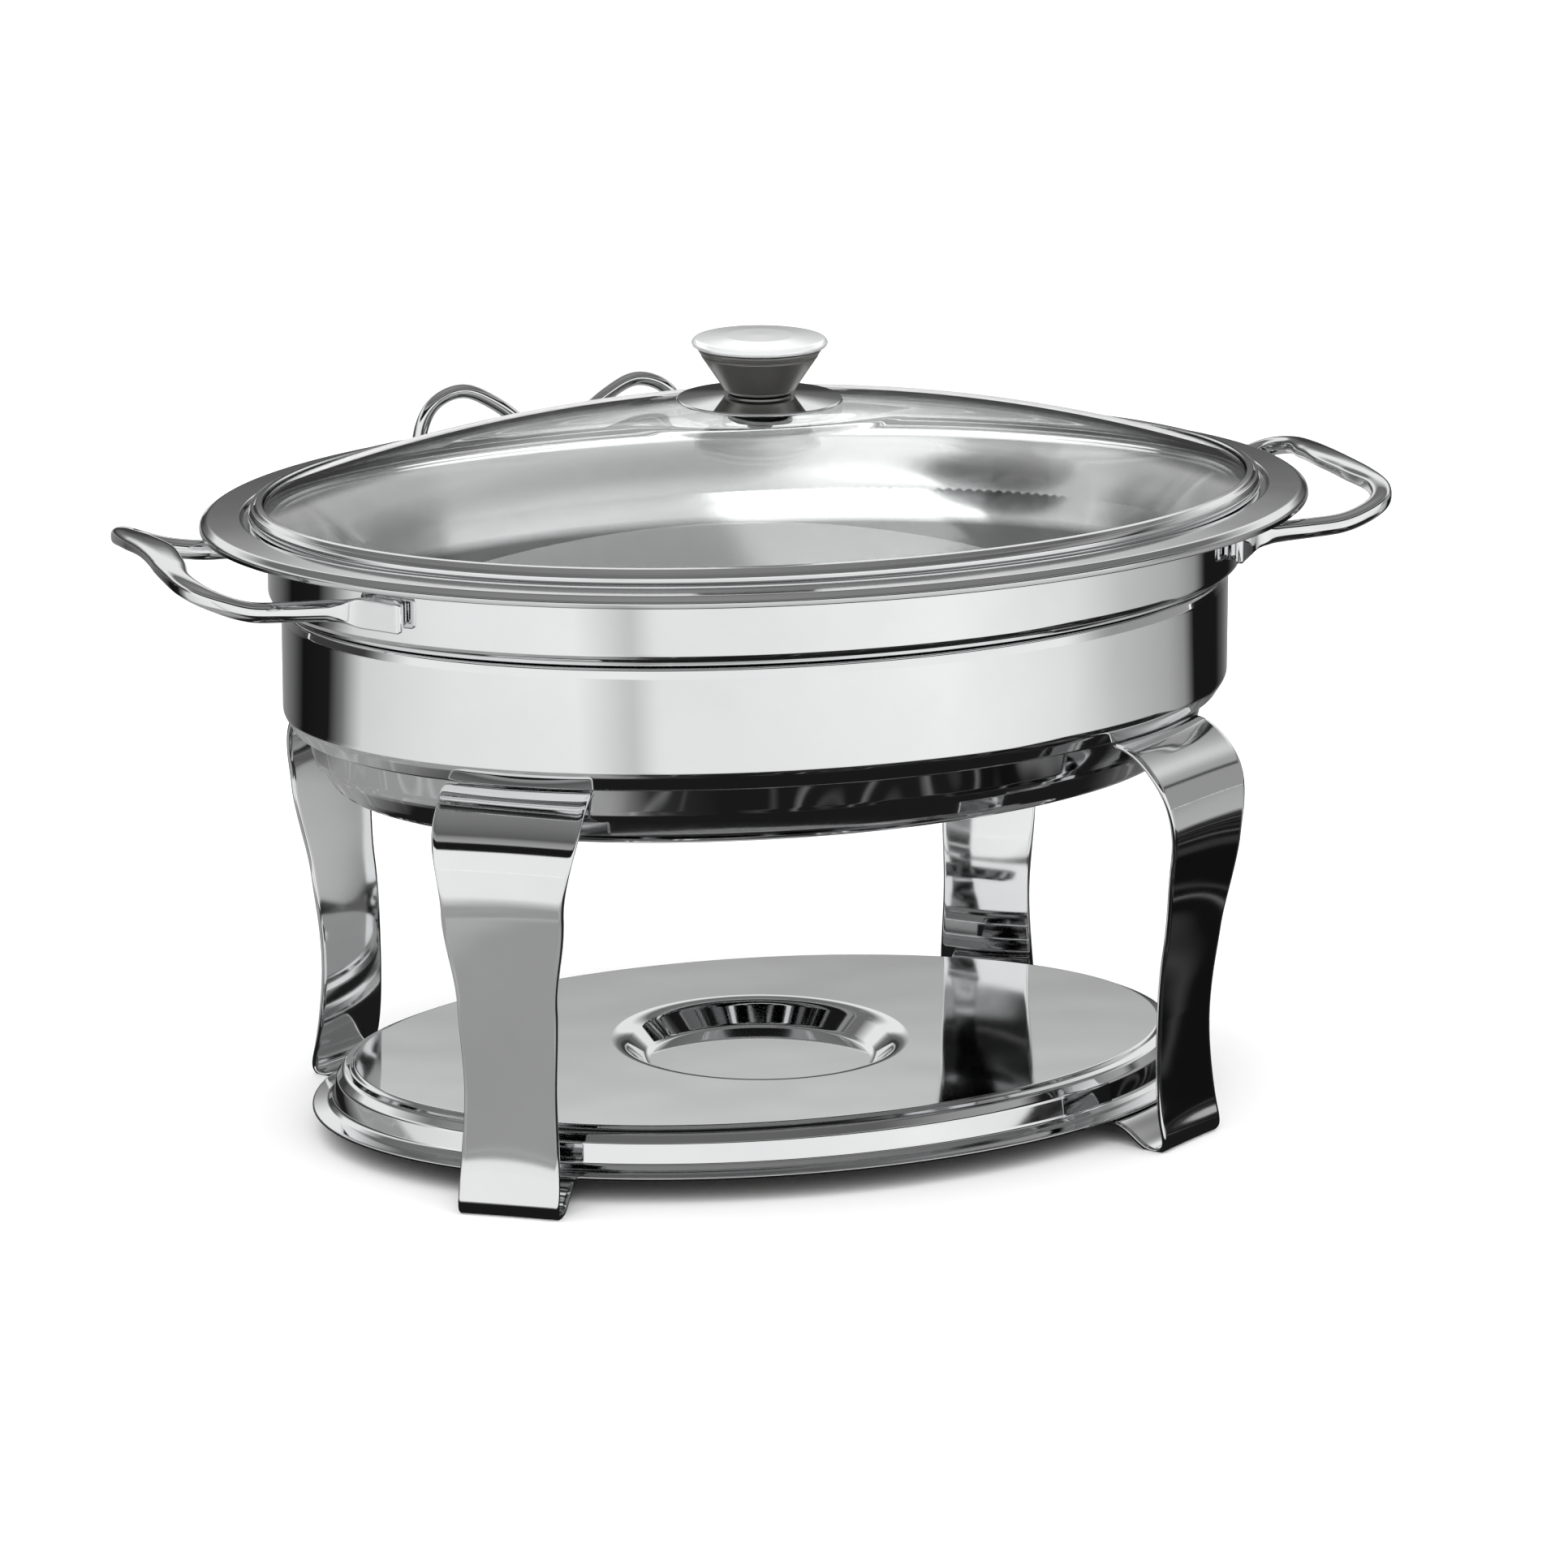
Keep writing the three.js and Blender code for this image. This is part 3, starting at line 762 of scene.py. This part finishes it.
def knob():
    cap = rounded([
        (0, 301.5, 0), (23.4, 301.5, 0.4), (25.6, 301.9, 0.8), (26.3, 303.2, 0.9), (25, 304.8, 1.6),
        (13, 305.7, 40), (0, KNOB_TOP_Z, 0),
    ], closed=False)
    turned_piece("knob_cap_looks", cap, "lid", CAP_STEEL, round_width, KNOB_STEPS, False)
    body = rounded([
        (KNOB_AXIS_HOLE, 283.6, 0.2), (12, 283.6, 0.4), (12.2, 285, 0.4), (13.9, 285.2, 0.5),
        (14.6, 286.4, 0.5), (22.5, 298.1, 0.3), (22.0, 298.5, 0.2), (22.9, 299, 0.3),
        (24.2, 301.2, 0.4), (6, 301.2, 0.2), (6, 297, 0.2), (KNOB_AXIS_HOLE, 297, 0.2),
    ])
    turned_piece("knob_body_looks", body, "lid", SATIN, round_width, KNOB_STEPS)
    plate = rounded([
        (KNOB_AXIS_HOLE, 282.3, 0.2), (14, 282.3, 6), (31.5, 280.4, 0.2), (32, 280.9, 0.3),
        (31.5, 281.5, 0.3), (14, 283.3, 6), (KNOB_AXIS_HOLE, 283.3, 0.2),
    ])
    turned_piece("knob_plate_looks", plate, "lid", POLISHED, round_width, KNOB_STEPS)


def collar(name, material):
    """A gasket or washer about the knob's axis, its edges softened."""
    low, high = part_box(name)
    outer, bottom, top = high.x / MM, low.z / MM, high.z / MM
    soft = min(0.4, 0.3 * (top - bottom))
    section = rounded([
        (KNOB_AXIS_HOLE, bottom, soft), (outer, bottom, soft),
        (outer, top, soft), (KNOB_AXIS_HOLE, top, soft),
    ])
    turned_piece(f"{name}_looks", section, "lid", material, round_width, KNOB_STEPS)


def knob_screw():
    """A round-headed screw under the glass with a cross recess in its head."""
    low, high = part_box("knob_screw")
    bottom, head_radius, shank_radius = low.z / MM, high.x / MM, 2.5
    crown, crown_steps = 0.9, 16
    radii = [k * head_radius / crown_steps for k in range(crown_steps + 1)]
    recess = [(r, bottom + crown * (r / head_radius) ** 4) for r in radii]
    head_top = bottom + 3.0
    section = [*recess, (head_radius, head_top), (shank_radius, head_top), (shank_radius, high.z / MM),
               (0, high.z / MM)]
    vertices, faces = turned(section, round_width, KNOB_STEPS, False)
    arm_length, arm_half_width, depth = 0.58 * head_radius, 0.55, 1.1
    cut = []
    for x, y, z in vertices:
        along, beside = max(abs(x), abs(y)), min(abs(x), abs(y))
        inside = along < arm_length and beside < arm_half_width and z < bottom + 1
        cut.append((x, y, z + depth * (1 - 0.5 * along / arm_length)) if inside else (x, y, z))
    make_piece("knob_screw_looks", cut, faces, SCREW, "lid", ["knob_screw"])


# ------------------------------------------------------------------ build the object
base_tray()
stand_ring()
for row_name, side_y in (("front", -1), ("rear", 1)):
    for side_name, side_x in (("left", -1), ("right", 1)):
        leg(row_name, side_name, side_x, side_y)

water_pan()
for side_name, side_x in (("left", -1), ("right", 1)):
    handle(side_name, side_x)
    for row_name, side_y in (("front", -1), ("rear", 1)):
        parameter = side_y * HANDLE_PARAMETER if side_x > 0 else math.pi - side_y * HANDLE_PARAMETER
        wall_plate(f"handle_plate_{row_name}_{side_name}", parameter, 16, 11,
                   HANDLE_PLATE_THICKNESS)
    wall_plate(f"holder_plate_{side_name}", math.acos(side_x * HOLDER_X / BAND_A), 20, 14,
               HOLDER_PLATE_THICKNESS)
lid_holder_wire()

food_pan()
lid_glass()
lid_rim()
knob()
collar("knob_upper_gasket", SILICONE)
collar("knob_lower_gasket", SILICONE)
collar("knob_washer", SCREW)
knob_screw()


# ------------------------------------------------------------------ studio
def emitter(name, strength):
    """A card's or backdrop's even light."""
    material = bpy.data.materials.new(name)
    material.use_nodes = True
    tree = material.node_tree
    tree.nodes.clear()
    glow = new_node(tree, "ShaderNodeEmission")
    glow.inputs["Color"].default_value = (strength, strength, strength, 1)
    out = new_node(tree, "ShaderNodeOutputMaterial")
    tree.links.new(glow.outputs[0], out.inputs["Surface"])
    return material


def stage_object(name, vertices, faces, material):
    mesh = bpy.data.meshes.new(name)
    mesh.from_pydata(vertices, [], faces)
    mesh.materials.append(material)
    thing = bpy.data.objects.new(name, mesh)
    bpy.context.scene.collection.objects.link(thing)
    return thing


def reflection_only(thing):
    """The thing shows in the metal's reflections and nowhere else."""
    thing.visible_camera = False
    thing.visible_diffuse = False
    thing.visible_transmission = False
    thing.visible_volume_scatter = False
    thing.visible_shadow = False


def disc(name, radius, material, steps=96):
    """A flat disc at the floor's height."""
    angles = [2 * math.pi * k / steps for k in range(steps)]
    rim = [(radius * math.cos(angle), radius * math.sin(angle), 0.0) for angle in angles]
    return stage_object(name, rim, [tuple(range(steps))], material)


def floor():
    material, _, shader = new_material("floor_paper")
    shader.inputs["Base Color"].default_value = (0.86, 0.86, 0.86, 1)
    shader.inputs["Roughness"].default_value = 0.9
    disc("floor", FLOOR_RADIUS, material)


# Brightness of the floor in the steel's reflections: (degrees round from the right, brightness).
FAR_FLOOR = [
    (-180, 0.8), (-160, 0.9), (-128, 0.95), (-117, 0.62), (-112, 0.9), (-60, 1.0), (-35, 0.85), (-23, 0.6),
    (-5, 0.45), (3, 0.3), (8, 0.01), (26, 0.01), (34, 0.1), (59, 0.5), (78, 0.75), (99, 0.3),
    (120, 0.13), (132, 0.008), (152, 0.012), (160, 0.2), (170, 0.75), (180, 0.8),
]
NEAR_FLOOR = [
    (-180, 0.35), (-128, 0.35), (-118, 0.03), (-104, 0.012), (-60, 0.012), (-48, 0.006), (-10, 0.006),
    (0, 0.1), (20, 0.12), (45, 0.3), (180, 0.35),
]
# How far the near floor reaches: distances are multiplied by this before its edge is looked up.
NEAR_REACH = [(-180, 1.0), (-48, 1.0), (-36, 0.66), (-10, 0.66), (0, 1.0), (180, 1.0)]
# The painted shadow under the dish, as the steel reflects the table: one dark all round.
PAINTED_SHADOW_UNDER_DISH = [(-180, 0.012), (180, 0.012)]
NEAR_EDGE = (0.44, 0.50)                       # radii between which the near floor gives way
PAINTED_SHADOW_EDGE = (0.22, 0.27)                      # the same for the painted shadow under the dish
# Thin bright wisps over the near floor, as stops over a noise.
SWIRLS = [
    (0, 0), (0.4, 0), (0.42, 0.04), (0.44, 0), (0.49, 0), (0.515, 0.14), (0.53, 0), (0.58, 0), (0.6, 0.04),
    (0.63, 0), (1, 0),
]


CARD_RADIUS = 20.0
CARD_LIFT = 0.0004                             # keeps the card just off the floor
FLOOR_RADIUS = 30.0


def polar_parts(tree):
    """Nodes for the distance from the ovals' centre and the direction, 0 to 1 round the circle."""
    place = new_node(tree, "ShaderNodeTexCoord")
    parts = new_node(tree, "ShaderNodeSeparateXYZ")
    flat = new_node(tree, "ShaderNodeVectorMath", operation="LENGTH")
    angle = new_node(tree, "ShaderNodeMath", operation="ARCTAN2")
    turn = new_node(tree, "ShaderNodeMapRange")
    turn.inputs["From Min"].default_value = -math.pi
    turn.inputs["From Max"].default_value = math.pi
    link_chain(
        tree,
        (place, "Object", parts, "Vector"),
        (place, "Object", flat, 0),
        (parts, "Y", angle, 0),
        (parts, "X", angle, 1),
        (angle, "Value", turn, "Value"),
    )
    return flat, turn


def surroundings():
    """The table as the steel reflects it: painted shadow under the dish, then a near ring, then a far one.
    """
    material = emitter("table_in_reflections", 1.0)
    tree = material.node_tree
    glow = next(node for node in tree.nodes if node.type == "EMISSION")
    distance, direction = polar_parts(tree)
    far, near, under, reach = [
        ramp_node(tree, [((degrees + 180) / 360, value) for degrees, value in stops], direction)
        for stops in (FAR_FLOOR, NEAR_FLOOR, PAINTED_SHADOW_UNDER_DISH, NEAR_REACH)
    ]
    reached = new_node(tree, "ShaderNodeMath", operation="MULTIPLY")
    link_chain(tree, (distance, "Value", reached, 0), (reach, "Color", reached, 1))
    wisps = mapped(tree, object_noise(tree, 7, detail=1.0), "Fac", 0.0, 1.0, 0.0, 1.0)
    swirls = ramp_node(tree, SWIRLS, wisps)
    streaked = new_node(tree, "ShaderNodeMix", data_type="RGBA", blend_type="ADD")
    streaked.inputs[0].default_value = 1.0
    link_chain(tree, (near, "Color", streaked, 6), (swirls, "Color", streaked, 7))
    last = far.outputs["Color"]
    # The second layer paints the dish's shadow on the table into the reflections.
    for (inner, outer), source, layer in (
        (NEAR_EDGE, reached, streaked.outputs[2]),
        (PAINTED_SHADOW_EDGE, distance, under.outputs["Color"]),
    ):
        share = mapped(tree, source, "Value", 1.0, 0.0, inner, outer)
        mix = new_node(tree, "ShaderNodeMix", data_type="RGBA")
        tree.links.new(share.outputs["Result"], mix.inputs[0])
        tree.links.new(last, mix.inputs[6])
        tree.links.new(layer, mix.inputs[7])
        last = mix.outputs[2]
    tree.links.new(last, glow.inputs["Color"])
    card = disc("table_in_reflections", CARD_RADIUS, material)
    card.location = (0, CENTRE_Y, CARD_LIFT)
    reflection_only(card)


def backdrop():
    """A pale wall far away, which only the camera meets."""
    radius, steps, top = 29.0, 64, 30.0
    vertices = []
    for k in range(steps):
        angle = 2 * math.pi * k / steps
        vertices.extend([(radius * math.cos(angle), radius * math.sin(angle), z) for z in (-5.0, top)])
    faces = [(2 * k, 2 * k + 1, (2 * k + 3) % (2 * steps), (2 * k + 2) % (2 * steps)) for k in range(steps)]
    wall = stage_object("backdrop", vertices, faces, emitter("backdrop_paper", 0.95))
    wall.visible_glossy = False
    wall.visible_diffuse = False
    wall.visible_transmission = False
    wall.visible_shadow = False


# Brightness of each side of the studio by height: (degrees above the horizon, brightness).
FRONT_SKY = [
    (0, 0.95), (22, 0.95), (24, 0.01), (35, 0.01), (37, 0.4), (43, 0.3), (47, 0.12), (62, 0.2), (90, 0.3),
]
BACK_SKY = [
    (0, 0.05), (6, 0.05), (9, 0.12), (13, 0.17), (16, 0.4), (19, 0.9), (28, 0.9), (38, 0.16), (90, 0.3),
]
RIGHT_SKY = [
    (0, 0.34), (18, 0.34), (20, 0.04), (22, 0.36), (38, 0.32), (42, 0.05), (50, 0.2), (90, 0.3),
]


def sky():
    """Soft light by direction: each side of the studio has its own bright and dark heights."""
    world = bpy.data.worlds.new("studio")
    bpy.context.scene.world = world
    world.use_nodes = True
    tree = world.node_tree
    background = tree.nodes["Background"]
    place = new_node(tree, "ShaderNodeTexCoord")
    parts = new_node(tree, "ShaderNodeSeparateXYZ")
    height = new_node(tree, "ShaderNodeMath", operation="ARCSINE")
    share = new_node(tree, "ShaderNodeMapRange")
    share.inputs["From Min"].default_value = 0.0
    share.inputs["From Max"].default_value = math.pi / 2
    link_chain(
        tree,
        (place, "Generated", parts, "Vector"),
        (parts, "Z", height, 0),
        (height, "Value", share, "Value"),
    )
    ramps = []
    for stops in (FRONT_SKY, BACK_SKY, RIGHT_SKY):
        ramps.append(ramp_node(tree, [(degrees / 90, value) for degrees, value in stops], share))
    last = ramps[0].outputs["Color"]
    for axis, low, high, ramp in (("Y", -0.15, 0.25, ramps[1]), ("X", 0.82, 0.94, ramps[2])):
        turn = new_node(tree, "ShaderNodeMapRange", interpolation_type="SMOOTHSTEP")
        turn.inputs["From Min"].default_value = low
        turn.inputs["From Max"].default_value = high
        mix = new_node(tree, "ShaderNodeMix", data_type="RGBA")
        link_chain(tree, (parts, axis, turn, "Value"), (turn, "Result", mix, 0))
        tree.links.new(last, mix.inputs[6])
        tree.links.new(ramp.outputs["Color"], mix.inputs[7])
        last = mix.outputs[2]
    tree.links.new(last, background.inputs["Color"])


def overhead_light():
    """A very soft light from above that whitens the floor and casts the contact shadows."""
    data = bpy.data.lights.new("overhead", "SUN")
    data.angle = math.radians(110)
    data.energy = 5.0
    light = bpy.data.objects.new("overhead", data)
    light.rotation_mode = "QUATERNION"
    light.rotation_quaternion = Vector((0.1, 0.25, -1)).to_track_quat("-Z", "Y")
    light.visible_glossy = False
    bpy.context.scene.collection.objects.link(light)


floor()
surroundings()
backdrop()
sky()
overhead_light()
bpy.context.scene.view_settings.view_transform = "Standard"
